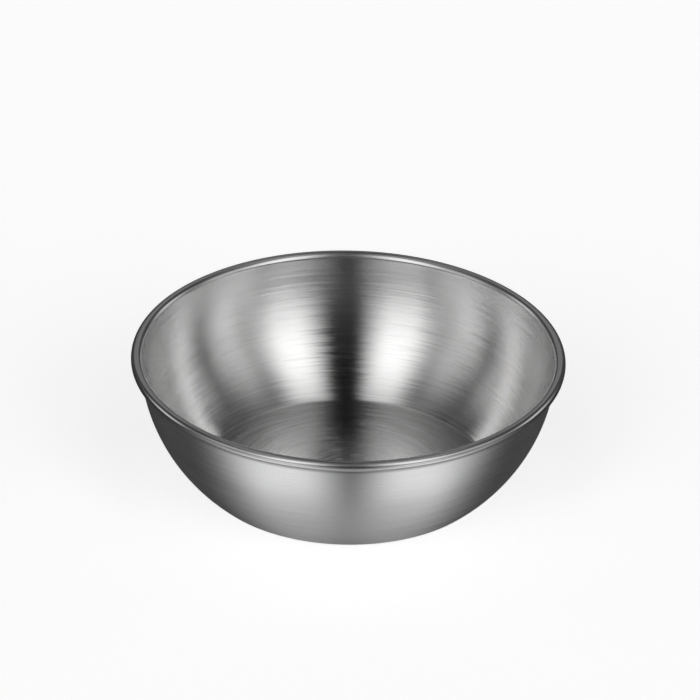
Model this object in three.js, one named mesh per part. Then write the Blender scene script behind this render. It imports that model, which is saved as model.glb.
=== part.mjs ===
// A small round sauce dish, pressed from one disc of stainless steel sheet. The sheet forms a flat
// base, a bend, a bowl wall and an edge rolled outwards into a bead, so the dish is one solid.
// Millimetres, +Z up, origin at the middle of the underside of the base.
import * as THREE from "three";

// Driving dimensions, in millimetres and degrees
const RIM_DIAMETER = 80; // over the rolled edge
const HEIGHT = 25; // from the underside of the base to the top of the roll
const SHEET_THICKNESS = 0.4;
const BASE_FLAT_DIAMETER = 51.5; // the flat that the dish stands on
const BASE_BEND_RADIUS = 1.5; // outside of the bend from the base into the wall
const WALL_SLOPE_AT_ROLL = 87; // slope of the wall where the roll starts, 90 being upright
const ROLL_DIAMETER = 2; // outside of the rolled edge
const ROLL_GAP = 0.3; // from the cut edge of the sheet to the wall that it curls back to

// Facets
const FACETS_AROUND = 72;
const BEND_STEPS = 4;
const WALL_STEPS = 10;
const ROLL_STEPS = 13;

// Brushed stainless steel
const STEEL_COLOUR = 0xb9babb;
const STEEL_ROUGHNESS = 0.34;
const STEEL_METALNESS = 1;

const radians = THREE.MathUtils.degToRad;

// The direction across the sheet, from its upper face to its lower face, where it climbs at a slope.
function acrossSheet(slope) {
  return new THREE.Vector2(Math.sin(slope), -Math.cos(slope));
}

// The middle of the sheet as three arcs, each tangent to the next, in the plane of radius and height.
// An arc runs from one slope to another, and its bend is the radius of its middle line: positive where
// the sheet turns upwards about a centre above it, and negative where it rolls outwards and down.
function sheetArcs() {
  const halfSheet = SHEET_THICKNESS / 2;
  const rollRadius = ROLL_DIAMETER / 2;
  const wallSlope = radians(WALL_SLOPE_AT_ROLL);

  const rollBend = rollRadius - halfSheet;
  const rollCentre = new THREE.Vector2(RIM_DIAMETER / 2 - rollRadius, HEIGHT - rollRadius);
  const rollStart = rollCentre.clone().addScaledVector(acrossSheet(wallSlope), -rollBend);

  const baseBend = BASE_BEND_RADIUS - halfSheet;
  const baseCentre = new THREE.Vector2(BASE_FLAT_DIAMETER / 2, BASE_BEND_RADIUS);

  // The wall is the one arc that meets the roll at its slope and also touches the base bend.
  const rise = rollStart.clone().sub(baseCentre);
  const toWallCentre = acrossSheet(wallSlope).negate();
  const wallBend = (baseBend ** 2 - rise.lengthSq()) / (2 * (rise.dot(toWallCentre) + baseBend));
  const wallCentre = rollStart.clone().addScaledVector(toWallCentre, wallBend);
  const touching = baseCentre.clone().sub(wallCentre);
  const bendSlope = Math.atan2(touching.x, -touching.y);

  // The roll stops where its outer face is the gap away from the outer face of the wall.
  const reachBack = (rollRadius - SHEET_THICKNESS - ROLL_GAP) / rollRadius;
  const rollEndSlope = -Math.PI / 2 - Math.acos(-reachBack);

  return [
    { centre: baseCentre, bend: baseBend, from: 0, to: bendSlope, steps: BEND_STEPS },
    { centre: wallCentre, bend: wallBend, from: bendSlope, to: wallSlope, steps: WALL_STEPS },
    { centre: rollCentre, bend: -rollBend, from: wallSlope, to: rollEndSlope, steps: ROLL_STEPS },
  ];
}

// One face of the sheet from the axis to the cut edge. The offset is half the sheet thickness for the
// lower, outer face, and minus that for the upper, inner face.
function sheetFace(arcs, offset) {
  const points = [new THREE.Vector2(0, SHEET_THICKNESS / 2 - offset)];
  arcs.forEach((arc, index) => {
    const first = index === 0 ? 0 : 1;
    for (let step = first; step <= arc.steps; step += 1) {
      const slope = THREE.MathUtils.lerp(arc.from, arc.to, step / arc.steps);
      points.push(arc.centre.clone().addScaledVector(acrossSheet(slope), arc.bend + offset));
    }
  });
  return points;
}

function dishGeometry() {
  const arcs = sheetArcs();
  const lowerFace = sheetFace(arcs, SHEET_THICKNESS / 2);
  const upperFace = sheetFace(arcs, -SHEET_THICKNESS / 2);
  const section = [...lowerFace, ...upperFace.reverse()];
  return new THREE.LatheGeometry(section, FACETS_AROUND).rotateX(Math.PI / 2);
}

function steelMaterial() {
  return new THREE.MeshStandardMaterial({
    color: STEEL_COLOUR,
    roughness: STEEL_ROUGHNESS,
    metalness: STEEL_METALNESS,
  });
}

const dish = new THREE.Mesh(dishGeometry(), steelMaterial());
dish.name = "dish";

const sauceDish = new THREE.Group();
sauceDish.add(dish);

export default sauceDish;
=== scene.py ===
"""A small sauce dish of brushed stainless steel, on a pale floor in soft studio light."""
import math
from collections import namedtuple

import bpy
from mathutils import Matrix, Vector


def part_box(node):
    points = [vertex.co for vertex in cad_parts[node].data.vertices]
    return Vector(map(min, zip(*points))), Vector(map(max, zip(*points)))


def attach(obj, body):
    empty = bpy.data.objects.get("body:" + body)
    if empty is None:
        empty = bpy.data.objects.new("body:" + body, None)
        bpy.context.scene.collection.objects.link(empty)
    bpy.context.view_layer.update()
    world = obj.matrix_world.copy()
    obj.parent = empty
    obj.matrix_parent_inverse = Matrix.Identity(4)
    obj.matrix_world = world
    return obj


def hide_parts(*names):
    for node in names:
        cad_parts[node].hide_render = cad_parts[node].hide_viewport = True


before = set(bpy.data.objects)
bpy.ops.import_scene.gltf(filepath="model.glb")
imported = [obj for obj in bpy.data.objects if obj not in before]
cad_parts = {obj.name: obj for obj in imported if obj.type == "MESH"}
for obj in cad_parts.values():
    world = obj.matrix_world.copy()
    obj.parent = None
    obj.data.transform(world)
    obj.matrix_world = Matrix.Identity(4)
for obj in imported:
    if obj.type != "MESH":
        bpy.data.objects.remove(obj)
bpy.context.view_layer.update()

MM = 0.001

# Sizes of the pressed sheet, in millimetres and degrees
LOWEST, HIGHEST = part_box("dish")
RIM_DIAMETER = (HIGHEST.x - LOWEST.x) / MM
HEIGHT = (HIGHEST.z - LOWEST.z) / MM
SHEET_THICKNESS = 0.4
BASE_FLAT_DIAMETER = 51.5
BASE_BEND_RADIUS = 1.5
WALL_SLOPE_AT_ROLL = 87
ROLL_DIAMETER = 2
ROLL_GAP = 0.3

# Fineness of the mesh
STEPS_AROUND = 240
FLAT_STEPS = 12
BEND_STEPS = 8
WALL_STEPS = 32
ROLL_STEPS = 36

# The camera, from the photograph: where it stands, and how large and where it sees the rim
CAMERA_DISTANCE = 6000
CAMERA_ELEVATION = 29.75
CAMERA_ROLL = 1.1
IMAGE_PIXELS = 700
PIXELS_PER_MM = 5.437
RIM_CENTRE_PIXEL = Vector((348.4, 355.85))
SENSOR_WIDTH = 36

# The finishes, in the order of the dish's material slots
INSIDE, ROLLED_EDGE, OUTSIDE = range(3)

# The mesh's own record of where a point is: cosine and sine of its angle, and mm along the section
RING_PLACE = "ring_place"

# A range of angles that leaves nothing out
ALL_ROUND = (-360, 360)


def linear(hex_colour):
    """Turns an sRGB hex colour into the linear colour that shaders use."""
    channels = [int(hex_colour[place:place + 2], 16) / 255 for place in (1, 3, 5)]
    straight = [c / 12.92 if c <= 0.04045 else ((c + 0.055) / 1.055) ** 2.4 for c in channels]
    return (*straight, 1.0)


def add_node(tree, kind, settings=None, inputs=None):
    """Adds a node with its settings, and its inputs set to values or linked to nodes or their sockets."""
    node = tree.nodes.new(kind)
    for name, value in (settings or {}).items():
        setattr(node, name, value)
    for key, value in (inputs or {}).items():
        if isinstance(value, bpy.types.Node):
            value = next(socket for socket in value.outputs if socket.enabled)
        if isinstance(value, bpy.types.NodeSocket):
            tree.links.new(value, node.inputs[key])
        else:
            node.inputs[key].default_value = value
    return node


def empty_tree(owner):
    """The node tree of a material or a world, with nothing in it."""
    owner.use_nodes = True
    owner.node_tree.nodes.clear()
    return owner.node_tree


# The pressed sheet

def across_sheet(slope):
    """The direction from the upper face of the sheet to its lower face, where it climbs at this slope."""
    return Vector((math.sin(slope), -math.cos(slope)))


def sheet_arcs():
    """The middle of the sheet as three tangent arcs: centre, bend radius, first and last slope, and steps."""
    half_sheet = SHEET_THICKNESS / 2
    roll_radius = ROLL_DIAMETER / 2
    wall_slope = math.radians(WALL_SLOPE_AT_ROLL)

    roll_bend = roll_radius - half_sheet
    roll_centre = Vector((RIM_DIAMETER / 2 - roll_radius, HEIGHT - roll_radius))
    roll_start = roll_centre - across_sheet(wall_slope) * roll_bend

    base_bend = BASE_BEND_RADIUS - half_sheet
    base_centre = Vector((BASE_FLAT_DIAMETER / 2, BASE_BEND_RADIUS))

    # The wall is the one arc that meets the roll at its slope and also touches the base bend.
    rise = roll_start - base_centre
    to_wall_centre = -across_sheet(wall_slope)
    wall_bend = (base_bend**2 - rise.length_squared) / (2 * (rise.dot(to_wall_centre) + base_bend))
    wall_centre = roll_start + to_wall_centre * wall_bend
    touching = base_centre - wall_centre
    bend_slope = math.atan2(touching.x, -touching.y)

    # The roll stops where its outer face is the gap away from the outer face of the wall.
    reach_back = (roll_radius - SHEET_THICKNESS - ROLL_GAP) / roll_radius
    roll_end_slope = -math.pi / 2 - math.acos(-reach_back)

    return [
        (base_centre, base_bend, 0, bend_slope, BEND_STEPS),
        (wall_centre, wall_bend, bend_slope, wall_slope, WALL_STEPS),
        (roll_centre, -roll_bend, wall_slope, roll_end_slope, ROLL_STEPS),
    ]


def sheet_face(offset):
    """One face of the sheet from the axis to the cut edge, as points of radius and height."""
    level = SHEET_THICKNESS / 2 - offset
    flat_step = BASE_FLAT_DIAMETER / 2 / FLAT_STEPS
    points = [Vector((step * flat_step, level)) for step in range(FLAT_STEPS + 1)]
    for centre, bend, first_slope, last_slope, steps in sheet_arcs():
        for step in range(1, steps + 1):
            slope = first_slope + (last_slope - first_slope) * step / steps
            points.append(centre + across_sheet(slope) * (bend + offset))
    return points


def dish_section():
    """The section from the axis inside, over the roll, to the axis underneath, and each strip's finish."""
    inner_face = sheet_face(-SHEET_THICKNESS / 2)
    outer_face = sheet_face(SHEET_THICKNESS / 2)
    below_roll = FLAT_STEPS + BEND_STEPS + WALL_STEPS
    cut_edge = 1
    finishes = [INSIDE] * below_roll
    finishes += [ROLLED_EDGE] * (2 * ROLL_STEPS + cut_edge)
    finishes += [OUTSIDE] * below_roll
    return inner_face + outer_face[::-1], finishes


def lengths_along(section):
    """How far along the section each of its points is."""
    along = [0.0]
    for start, end in zip(section, section[1:]):
        along.append(along[-1] + (end - start).length)
    return along


def turned_points(section, along):
    """The points of the turned section, ring by ring, and the record of where each one is."""
    turns = [2 * math.pi * step / STEPS_AROUND for step in range(STEPS_AROUND)]
    points = [(0, 0, section[0].y)]
    places = [(0, 0, along[0])]
    for (radius, level), distance in zip(section[1:-1], along[1:-1]):
        points += [(radius * math.cos(turn), radius * math.sin(turn), level) for turn in turns]
        places += [(math.cos(turn), math.sin(turn), distance) for turn in turns]
    points.append((0, 0, section[-1].y))
    places.append((0, 0, along[-1]))
    return points, places


def turned_faces(last_ring):
    """The corners of every face, as ring and step. The first and the last ring are one point on the axis."""
    faces = []
    for ring in range(last_ring):
        for step in range(STEPS_AROUND):
            corners = [(ring, step), (ring + 1, step), (ring + 1, step + 1), (ring, step + 1)]
            if ring == 0:
                corners = corners[:3]
            if ring + 1 == last_ring:
                corners = [corners[0], corners[1], corners[3]]
            faces.append(corners)
    return faces


def point_number(ring, step, last_ring):
    """The number of the point at a ring and a step."""
    if ring == 0:
        return 0
    if ring == last_ring:
        return 1 + (last_ring - 1) * STEPS_AROUND
    return 1 + (ring - 1) * STEPS_AROUND + step % STEPS_AROUND


def pressed_dish():
    """The dish turned from its section, with a map of the section against the angle round the axis."""
    section, finishes = dish_section()
    along = lengths_along(section)
    last_ring = len(section) - 1
    points, places = turned_points(section, along)
    corners = turned_faces(last_ring)
    faces = [[point_number(ring, step, last_ring) for ring, step in face] for face in corners]
    face_map = [(along[ring] / along[-1], step / STEPS_AROUND) for face in corners for ring, step in face]
    face_finishes = [finish for finish in finishes for step in range(STEPS_AROUND)]

    mesh = bpy.data.meshes.new("pressed_dish")
    mesh.from_pydata([[value * MM for value in point] for point in points], [], faces)
    mesh.polygons.foreach_set("use_smooth", [True] * len(faces))
    mesh.polygons.foreach_set("material_index", face_finishes)
    section_map = mesh.uv_layers.new(name="OFBake")
    section_map.data.foreach_set("uv", [value for pair in face_map for value in pair])
    ring_place = mesh.attributes.new(RING_PLACE, "FLOAT_VECTOR", "POINT")
    ring_place.data.foreach_set("vector", [value for place in places for value in place])
    mark_cut_edge(mesh, section)

    roll_start = along[len(section) // 2 + ROLL_STEPS]
    mesh.materials.append(spun_stainless_inside())
    mesh.materials.append(burnished_stainless_edge())
    mesh.materials.append(satin_stainless_outside(roll_start))

    dish = bpy.data.objects.new("pressed_dish", mesh)
    bpy.context.scene.collection.objects.link(dish)
    return dish


def mark_cut_edge(mesh, section):
    """Keeps the two rings where the sheet was cut crisp."""
    last_inner = len(section) // 2 - 1
    for ring in (last_inner, last_inner + 1):
        first = 1 + (ring - 1) * STEPS_AROUND
        around = range(first, first + STEPS_AROUND)
        for edge in mesh.edges:
            if all(point in around for point in edge.vertices):
                edge.use_edge_sharp = True


# Stainless steel

# The range that noise mostly keeps to, and its middle
NOISE_LOW = 0.25
NOISE_HIGH = 0.75
NOISE_MIDDLE = 0.5

# Marks on the steel, and a line of painted shade round the roll: mm along the section and the degrees that
# each runs between, how many mm wide they are, and the degrees that their ends take to fade
TURNING_MARKS = (
    (35.5, 26, 46),
    (34.7, 24, 38),
    (35.7, 136, 143),
    (34.9, 138, 144),
    (47.6, 62, 118),
    (45.0, 66, 88),
)
TURNING_MARK_WIDTH = 0.16
# A dark line painted round the roll: painted shade, not a mark in the steel.
PAINTED_SHADE_ROUND_ROLL = ((56.1, *ALL_ROUND),)
PAINTED_SHADE_ROUND_ROLL_WIDTH = 0.5
MARK_FADE = 6

# Painted shade on the wall under the roll, a dark band: mm down the wall from the start of the roll, and its
# width
PAINTED_SHADE_UNDER_ROLL = 1.4
PAINTED_SHADE_UNDER_ROLL_WIDTH = 1.6

# Inside, in mm along the section: where the floor's dashes give way to the wall's streaks, and where the wall
# gets lighter towards the rim, a painted highlight
FLOOR_TO_WALL = (25, 28)
PAINTED_HIGHLIGHT_TOWARDS_RIM = (41, 51)

# How much of the floor's contrast the wall has, in its colour and in how it frays the light
WALL_GRAIN = 0.5
WALL_FRAYING = 0.4

# The noise that streaks darken from, how much rougher a mark is, and how tall bands are beside streaks
STREAKS_DARKEN_FROM = 0.55
MARK_ROUGHNESS = 0.15
BAND_HEIGHT = 3.0


def ring_lines(tree, spacing, arc, detail=0.0):
    """Lines round the axis: noise this many mm across and this many degrees long."""
    place = add_node(tree, "ShaderNodeAttribute", {"attribute_name": RING_PLACE})
    round_axis = 1 / math.radians(arc)
    drawn_out = add_node(
        tree,
        "ShaderNodeVectorMath",
        {"operation": "MULTIPLY"},
        {0: place.outputs["Vector"], 1: (round_axis, round_axis, 1 / spacing)},
    )
    return add_node(tree, "ShaderNodeTexNoise", inputs={"Vector": drawn_out, "Scale": 1.0, "Detail": detail})


def ring_marks(tree, places, width):
    """1 in the middle of a mark of this width, 0 away from all of them."""
    place = add_node(tree, "ShaderNodeAttribute", {"attribute_name": RING_PLACE})
    axes = add_node(tree, "ShaderNodeSeparateXYZ", inputs={0: place.outputs["Vector"]})
    angle = add_node(
        tree, "ShaderNodeMath", {"operation": "ARCTAN2"}, {0: axes.outputs["Y"], 1: axes.outputs["X"]}
    )
    marks = 0.0
    for distance, first, last in places:
        off_line = add_node(
            tree, "ShaderNodeMath", {"operation": "SUBTRACT"}, {0: axes.outputs["Z"], 1: distance}
        )
        aside = add_node(tree, "ShaderNodeMath", {"operation": "ABSOLUTE"}, {0: off_line})
        mark = add_node(
            tree, "ShaderNodeMapRange", inputs={"Value": aside, "From Min": width / 2, "From Max": 0.0}
        )
        for limit, inside in ((first, first + MARK_FADE), (last, last - MARK_FADE)):
            within = add_node(
                tree,
                "ShaderNodeMapRange",
                inputs={"Value": angle, "From Min": math.radians(limit), "From Max": math.radians(inside)},
            )
            mark = add_node(tree, "ShaderNodeMath", {"operation": "MULTIPLY"}, {0: mark, 1: within})
        marks = add_node(tree, "ShaderNodeMath", {"operation": "MAXIMUM"}, {0: mark, 1: marks})
    return marks


def share_along(tree, stretch):
    """0 before a stretch of the section, 1 after it."""
    place = add_node(tree, "ShaderNodeAttribute", {"attribute_name": RING_PLACE})
    axes = add_node(tree, "ShaderNodeSeparateXYZ", inputs={0: place.outputs["Vector"]})
    start, end = stretch
    return add_node(
        tree, "ShaderNodeMapRange", inputs={"Value": axes.outputs["Z"], "From Min": start, "From Max": end}
    )


def layered_colour(tree, lines, darker, lighter, layers):
    """Two colours that take turns by the lines, with other colours over them: share, strength and colour."""
    colour = add_node(
        tree,
        "ShaderNodeMix",
        {"data_type": "RGBA"},
        {"Factor": lines, "A": linear(darker), "B": linear(lighter)},
    )
    for share, strength, laid_over in layers:
        cover = add_node(tree, "ShaderNodeMath", {"operation": "MULTIPLY"}, {0: share, 1: strength})
        colour = add_node(
            tree,
            "ShaderNodeMix",
            {"data_type": "RGBA"},
            {"Factor": cover, "A": colour, "B": linear(laid_over)},
        )
    return colour


def from_noise(tree, noise, low, high):
    """A value that follows noise between two limits."""
    return add_node(
        tree,
        "ShaderNodeMapRange",
        inputs={"Value": noise, "From Min": NOISE_LOW, "From Max": NOISE_HIGH, "To Min": low, "To Max": high},
    )


def shade_steel(tree, lines, colour, roughness, anisotropy, height, depth, wander, lean_along):
    """Ends a finish: its bumps are this many mm deep, and light spreads across its lines.

    The lines wander off true rings, and lean the surface along themselves, by these many degrees either way.
    """
    across = add_node(tree, "ShaderNodeTangent", {"direction_type": "UV_MAP"})
    facing = add_node(tree, "ShaderNodeNewGeometry").outputs["Normal"]
    along = add_node(tree, "ShaderNodeVectorMath", {"operation": "CROSS_PRODUCT"}, {0: facing, 1: across})
    bump = add_node(
        tree, "ShaderNodeBump", inputs={"Strength": 1.0, "Distance": depth * MM, "Height": height}
    )
    directions = []
    for direction, degrees in ((across, wander), (bump, lean_along)):
        tilt = math.tan(math.radians(degrees))
        share = from_noise(tree, lines, -tilt, tilt)
        tilted = add_node(
            tree, "ShaderNodeVectorMath", {"operation": "MULTIPLY_ADD"}, {0: along, 1: share, 2: direction}
        )
        directions.append(add_node(tree, "ShaderNodeVectorMath", {"operation": "NORMALIZE"}, {0: tilted}))
    tangent, normal = directions
    shader = add_node(
        tree,
        "ShaderNodeBsdfPrincipled",
        inputs={
            "Base Color": colour,
            "Metallic": 1.0,
            "Roughness": roughness,
            "Anisotropic": anisotropy,
            "Tangent": tangent,
            "Normal": normal,
        },
    )
    add_node(tree, "ShaderNodeOutputMaterial", inputs={"Surface": shader})


def spun_stainless_inside():
    """304 stainless, spun and brushed in rings with a pad: tall soft bands of light, frayed by streaks."""
    material = bpy.data.materials.new("spun_stainless_inside")
    tree = empty_tree(material)
    # A pad leaves lines about 0.03 mm apart. They are drawn coarser, so that they show.
    grain = ring_lines(tree, spacing=0.45, arc=40)
    bands = ring_lines(tree, spacing=1.6, arc=80)
    streaks = ring_lines(tree, spacing=0.3, arc=12)
    dashes = ring_lines(tree, spacing=0.7, arc=26)
    marks = ring_marks(tree, TURNING_MARKS, TURNING_MARK_WIDTH)
    on_wall = share_along(tree, FLOOR_TO_WALL)
    painted_highlight_near_rim = share_along(tree, PAINTED_HIGHLIGHT_TOWARDS_RIM)

    # The floor shows its dashes, and the wall quieter grain and streaks.
    patterns = []
    for wall_lines, contrast in ((grain, WALL_GRAIN), (streaks, WALL_FRAYING)):
        quieter = add_node(
            tree, "ShaderNodeMix", inputs={"Factor": contrast, "A": NOISE_MIDDLE, "B": wall_lines}
        )
        patterns.append(
            add_node(tree, "ShaderNodeMix", inputs={"Factor": on_wall, "A": dashes, "B": quieter})
        )
    brushing, fraying = patterns

    darkest_streaks = add_node(
        tree,
        "ShaderNodeMapRange",
        inputs={"Value": streaks, "From Min": STREAKS_DARKEN_FROM, "From Max": NOISE_HIGH},
    )
    colour = layered_colour(
        tree,
        brushing,
        darker="#bcbbba",
        lighter="#d8d8d8",
        layers=(
            (darkest_streaks, 0.4, "#b8b8b8"),
            # Painted highlight: the wall's colour is lighter towards the rim.
            (painted_highlight_near_rim, 0.8, "#ededed"),
            (marks, 1.0, "#e4e4e4"),
        ),
    )
    brushed = from_noise(tree, brushing, 0.19, 0.25)
    roughness = add_node(
        tree, "ShaderNodeMath", {"operation": "MULTIPLY_ADD"}, {0: marks, 1: MARK_ROUGHNESS, 2: brushed}
    )
    raised = add_node(
        tree, "ShaderNodeMath", {"operation": "MULTIPLY_ADD"}, {0: bands, 1: BAND_HEIGHT, 2: streaks}
    )
    height = add_node(tree, "ShaderNodeMath", {"operation": "SUBTRACT"}, {0: raised, 1: marks})
    shade_steel(
        tree,
        fraying,
        colour,
        roughness,
        anisotropy=1.0,
        height=height,
        depth=0.0016,
        wander=3.0,
        lean_along=1.0,
    )
    return material


def satin_stainless_outside(roll_start):
    """304 stainless, satin finished in rings with a fine belt: softer and more even than the inside."""
    material = bpy.data.materials.new("satin_stainless_outside")
    tree = empty_tree(material)
    grain = ring_lines(tree, spacing=0.16, arc=30, detail=1.0)
    # A dark band of painted shade on the wall just under the roll.
    painted_shade = ring_marks(tree, ((roll_start + PAINTED_SHADE_UNDER_ROLL, *ALL_ROUND),), PAINTED_SHADE_UNDER_ROLL_WIDTH)
    shade_steel(
        tree,
        grain,
        layered_colour(tree, grain, darker="#bcbcbd", lighter="#cecece", layers=((painted_shade, 1.0, "#6c6c6e"),)),
        roughness=from_noise(tree, grain, 0.27, 0.33),
        anisotropy=0.9,
        height=grain,
        depth=0.003,
        wander=1.0,
        lean_along=0.3,
    )
    return material


def burnished_stainless_edge():
    """304 stainless, burnished by the rollers that curled it: nearly bright, with one dark line of painted
    shade round it.
    """
    material = bpy.data.materials.new("burnished_stainless_edge")
    tree = empty_tree(material)
    lines = ring_lines(tree, spacing=0.12, arc=60, detail=1.0)
    # A dark line of painted shade round the roll.
    painted_shade = ring_marks(tree, PAINTED_SHADE_ROUND_ROLL, PAINTED_SHADE_ROUND_ROLL_WIDTH)
    shade_steel(
        tree,
        lines,
        layered_colour(tree, lines, darker="#aeaeae", lighter="#c0c0c0", layers=((painted_shade, 1.0, "#686868"),)),
        roughness=from_noise(tree, lines, 0.23, 0.29),
        anisotropy=0.2,
        height=lines,
        depth=0.001,
        wander=1.0,
        lean_along=0.3,
    )
    return material


# The studio

# Light panels: angles in degrees from the gap between the two front diffusers and from the horizon, how far
# the edges take to fade in both directions, and brightness. Each panel has a twin on the other side.
Panel = namedtuple("Panel", "azimuth elevation fade brightness")

# Elevations well past straight down and straight up, so that no edge fades there
STRAIGHT_DOWN = -180
STRAIGHT_UP = 180
PANELS = (
    # Front diffusers
    Panel(azimuth=(18, 51), elevation=(-20, 58), fade=(24, 24), brightness=2.05),
    # Strip lights towards the back
    Panel(azimuth=(97, 120), elevation=(4, 26), fade=(16, 8), brightness=1.3),
    # Pale ceiling
    Panel(azimuth=ALL_ROUND, elevation=(62, STRAIGHT_UP), fade=(24, 20), brightness=0.45),
    # Back wall and side walls
    Panel(azimuth=(150, 360), elevation=(18, 55), fade=(16, 10), brightness=0.3),
    Panel(azimuth=(58, 80), elevation=(-20, 40), fade=(32, 28), brightness=1.0),
    # Dim room all round, but not in front of the gap or opposite it
    Panel(azimuth=(14, 166), elevation=(STRAIGHT_DOWN, STRAIGHT_UP), fade=(16, 16), brightness=0.05),
    # Floor in front, pools of light on it, and floor below
    Panel(azimuth=(-360, 95), elevation=(STRAIGHT_DOWN, -8), fade=(36, 20), brightness=0.12),
    Panel(azimuth=(13, 78), elevation=(-60, -34), fade=(40, 14), brightness=1.45),
    Panel(azimuth=ALL_ROUND, elevation=(STRAIGHT_DOWN, -62), fade=(30, 32), brightness=0.38),
)
DARKEST = 0.015
GAP_AZIMUTH = 3

# The gap goes on overhead as a slit: degrees either way that stay dark, degrees that its edges take to
# fade, and the elevation that it starts at
SLIT_REACH = 7
SLIT_FADE = 9
SLIT_START = 45

# The floor reaches this many metres each way.
FLOOR_REACH = 3.0


def share_within(tree, edges):
    """How far inside soft edges a direction is: each has an angle, where it starts and where it is full."""
    share = 1.0
    for angle, start, full in edges:
        edge = add_node(
            tree,
            "ShaderNodeMapRange",
            {"interpolation_type": "SMOOTHSTEP"},
            {"Value": angle, "From Min": math.radians(start), "From Max": math.radians(full)},
        )
        share = add_node(tree, "ShaderNodeMath", {"operation": "MULTIPLY"}, {0: edge, 1: share})
    return share


def sky_angles(tree):
    """A direction's angles: round from the gap, up from the horizon, and off the gap's upright plane."""
    direction = add_node(tree, "ShaderNodeTexCoord").outputs["Generated"]
    axes = add_node(tree, "ShaderNodeSeparateXYZ", inputs={0: direction})
    gap = math.radians(GAP_AZIMUTH)

    towards = add_node(tree, "ShaderNodeMath", {"operation": "MULTIPLY"}, {0: axes.outputs["Y"], 1: -1.0})
    azimuth = add_node(tree, "ShaderNodeMath", {"operation": "ARCTAN2"}, {0: axes.outputs["X"], 1: towards})
    from_gap = add_node(tree, "ShaderNodeMath", {"operation": "SUBTRACT"}, {0: azimuth, 1: gap})
    around = add_node(tree, "ShaderNodeMath", {"operation": "ABSOLUTE"}, {0: from_gap})

    upwards = add_node(tree, "ShaderNodeMath", {"operation": "ARCSINE"}, {0: axes.outputs["Z"]})

    plane_side = (math.cos(gap), math.sin(gap), 0)
    off_plane = add_node(
        tree, "ShaderNodeVectorMath", {"operation": "DOT_PRODUCT"}, {0: direction, 1: plane_side}
    )
    leaning = add_node(tree, "ShaderNodeMath", {"operation": "ARCSINE"}, {0: off_plane.outputs["Value"]})
    aside = add_node(tree, "ShaderNodeMath", {"operation": "ABSOLUTE"}, {0: leaning})
    return around, upwards, aside


def sky_brightness(tree):
    """The light that the dish sees in a direction: the panels added up, with the slit left dark."""
    around, upwards, aside = sky_angles(tree)
    total = DARKEST
    for panel in PANELS:
        edges = []
        for angle, limits, fade in zip((around, upwards), (panel.azimuth, panel.elevation), panel.fade):
            low, high = limits
            edges.append((angle, low - fade / 2, low + fade / 2))
            edges.append((angle, high + fade / 2, high - fade / 2))
        share = share_within(tree, edges)
        total = add_node(
            tree, "ShaderNodeMath", {"operation": "MULTIPLY_ADD"}, {0: share, 1: panel.brightness, 2: total}
        )

    slit_edges = [
        (aside, SLIT_REACH + SLIT_FADE / 2, SLIT_REACH - SLIT_FADE / 2),
        (upwards, SLIT_START, SLIT_START + SLIT_FADE),
    ]
    in_slit = share_within(tree, slit_edges)
    outside_slit = add_node(tree, "ShaderNodeMath", {"operation": "SUBTRACT"}, {0: 1.0, 1: in_slit})
    return add_node(tree, "ShaderNodeMath", {"operation": "MULTIPLY"}, {0: outside_slit, 1: total})


def studio_light():
    """Soft panels round the dish with a dark gap in front, seen only in reflections, and a plain backdrop."""
    world = bpy.data.worlds.new("soft_studio")
    tree = empty_tree(world)
    light = add_node(
        tree, "ShaderNodeBackground", inputs={"Color": sky_brightness(tree), "Strength": 1.0}
    )
    backdrop = add_node(tree, "ShaderNodeBackground", inputs={"Color": linear("#ffffff"), "Strength": 1.0})
    seen = add_node(tree, "ShaderNodeLightPath").outputs["Is Camera Ray"]
    shown = add_node(tree, "ShaderNodeMixShader", inputs={0: seen, 1: light, 2: backdrop})
    add_node(tree, "ShaderNodeOutputWorld", inputs={"Surface": shown})
    bpy.context.scene.world = world
    bpy.context.scene.view_settings.view_transform = "Standard"


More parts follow.
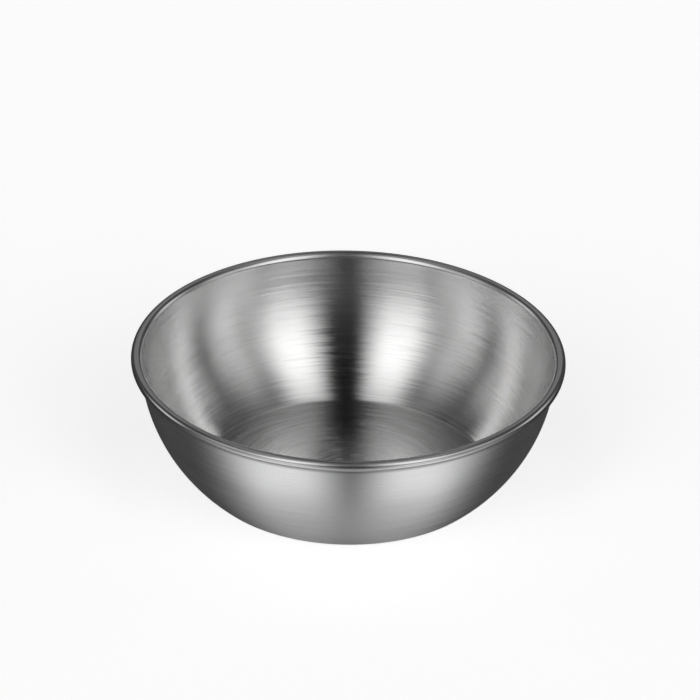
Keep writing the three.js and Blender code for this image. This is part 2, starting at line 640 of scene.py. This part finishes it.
def studio_floor():
    """A wide matt white sheet that glows a little, so that only a faint shadow is left on it."""
    material = bpy.data.materials.new("matt_white_sheet")
    tree = empty_tree(material)
    paper = add_node(tree, "ShaderNodeBsdfDiffuse", inputs={"Color": linear("#c8c8c8")})
    glow = add_node(tree, "ShaderNodeEmission", inputs={"Color": linear("#ffffff"), "Strength": 0.68})
    both = add_node(tree, "ShaderNodeAddShader", inputs={0: paper, 1: glow})
    add_node(tree, "ShaderNodeOutputMaterial", inputs={"Surface": both})

    corners = [(x * FLOOR_REACH, y * FLOOR_REACH, 0) for x, y in ((-1, -1), (1, -1), (1, 1), (-1, 1))]
    mesh = bpy.data.meshes.new("studio_floor")
    mesh.from_pydata(corners, [], [(0, 1, 2, 3)])
    mesh.materials.append(material)
    floor = bpy.data.objects.new("studio_floor", mesh)
    bpy.context.scene.collection.objects.link(floor)
    # The dish shows the panels below it, and their light reaches it, as if the floor were open.
    floor.visible_glossy = False
    floor.visible_shadow = False


def photograph_camera():
    """A long lens at the photograph's angle, turned a little, with the rim where the photograph has it."""
    tilt = math.radians(CAMERA_ELEVATION)
    right = Vector((1, 0, 0))
    up = Vector((0, math.sin(tilt), math.cos(tilt)))
    back = Vector((0, -math.cos(tilt), math.sin(tilt)))
    turn = Matrix.Rotation(math.radians(CAMERA_ROLL), 3, "Z")
    axes = Matrix((right, up, back)).transposed() @ turn
    off_centre = (Vector((IMAGE_PIXELS, IMAGE_PIXELS)) / 2 - RIM_CENTRE_PIXEL) / PIXELS_PER_MM
    aim = Vector((0, 0, HEIGHT)) + axes @ Vector((off_centre.x, -off_centre.y, 0))

    camera = bpy.data.objects.new("photograph_camera", bpy.data.cameras.new("photograph_camera"))
    bpy.context.scene.collection.objects.link(camera)
    camera.matrix_world = Matrix.LocRotScale((aim + back * CAMERA_DISTANCE) * MM, axes, None)
    camera.data.sensor_width = SENSOR_WIDTH
    camera.data.lens = SENSOR_WIDTH * PIXELS_PER_MM * CAMERA_DISTANCE / IMAGE_PIXELS
    bpy.context.scene.camera = camera


photograph_camera()
studio_light()
studio_floor()

dish = pressed_dish()
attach(dish, "root")
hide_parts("dish")
